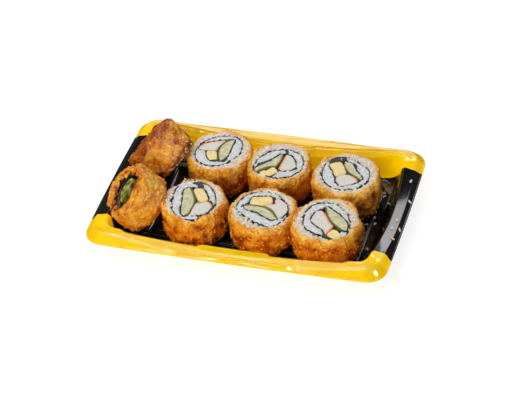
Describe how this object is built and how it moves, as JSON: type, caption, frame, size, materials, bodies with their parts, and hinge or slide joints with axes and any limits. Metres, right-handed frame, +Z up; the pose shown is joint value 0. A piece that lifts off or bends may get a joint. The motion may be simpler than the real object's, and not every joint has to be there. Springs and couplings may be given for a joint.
{
  "type": "takeaway sushi tray",
  "caption": "Shallow thermoformed takeaway tray with a saddle-shaped rim, filled with fried thick sushi rolls standing cut face up and end pieces leaning on one end.",
  "frame": {"origin": "middle of the tray's flat base, on the surface it stands on", "axes": "+X runs along the length of the tray towards the bare end, +Y towards the back long side, +Z up"},
  "size_m": [0.2216, 0.1456, 0.0506],
  "materials": {
    "tray_sheet": "glossy thermoformed sheet, yellow along both long sides and black between",
    "fried_coat": "craggy golden-brown fried crust over a tan outer ring of rice",
    "nori": "dark, slightly wrinkled toasted seaweed",
    "rice": "moist white rice, cut through the grains",
    "cucumber": "wet pale green flesh with a dark skin on the round side",
    "egg": "soft layered yellow omelette",
    "crab": "white fibrous crab stick with an orange-red skin"
  },
  "bodies": {
    "root": {"tray": "tray_sheet", "roll_back_left_coat": "fried_coat", "roll_back_left_nori": "nori", "roll_back_left_rice": "rice", "roll_back_left_cucumber": "cucumber", "roll_back_left_egg": "egg", "roll_back_left_crab": "crab", "roll_back_middle_coat": "fried_coat", "roll_back_middle_nori": "nori", "roll_back_middle_rice": "rice", "roll_back_middle_cucumber": "cucumber", "roll_back_middle_egg": "egg", "roll_back_middle_crab": "crab", "roll_back_right_coat": "fried_coat", "roll_back_right_nori": "nori", "roll_back_right_rice": "rice", "roll_back_right_cucumber": "cucumber", "roll_back_right_egg": "egg", "roll_back_right_crab": "crab", "roll_front_left_coat": "fried_coat", "roll_front_left_nori": "nori", "roll_front_left_rice": "rice", "roll_front_left_cucumber": "cucumber", "roll_front_left_egg": "egg", "roll_front_left_crab": "crab", "roll_front_middle_coat": "fried_coat", "roll_front_middle_nori": "nori", "roll_front_middle_rice": "rice", "roll_front_middle_cucumber": "cucumber", "roll_front_middle_egg": "egg", "roll_front_middle_crab": "crab", "roll_front_right_coat": "fried_coat", "roll_front_right_nori": "nori", "roll_front_right_rice": "rice", "roll_front_right_cucumber": "cucumber", "roll_front_right_egg": "egg", "roll_front_right_crab": "crab", "roll_leaning_front_coat": "fried_coat", "roll_leaning_front_nori": "nori", "roll_leaning_front_rice": "rice", "roll_leaning_front_cucumber": "cucumber", "roll_leaning_front_egg": "egg", "roll_leaning_front_crab": "crab", "roll_leaning_back_coat": "fried_coat", "roll_leaning_back_nori": "nori", "roll_leaning_back_rice": "rice", "roll_leaning_back_cucumber": "cucumber", "roll_leaning_back_egg": "egg", "roll_leaning_back_crab": "crab"}
  },
  "joints": []
}
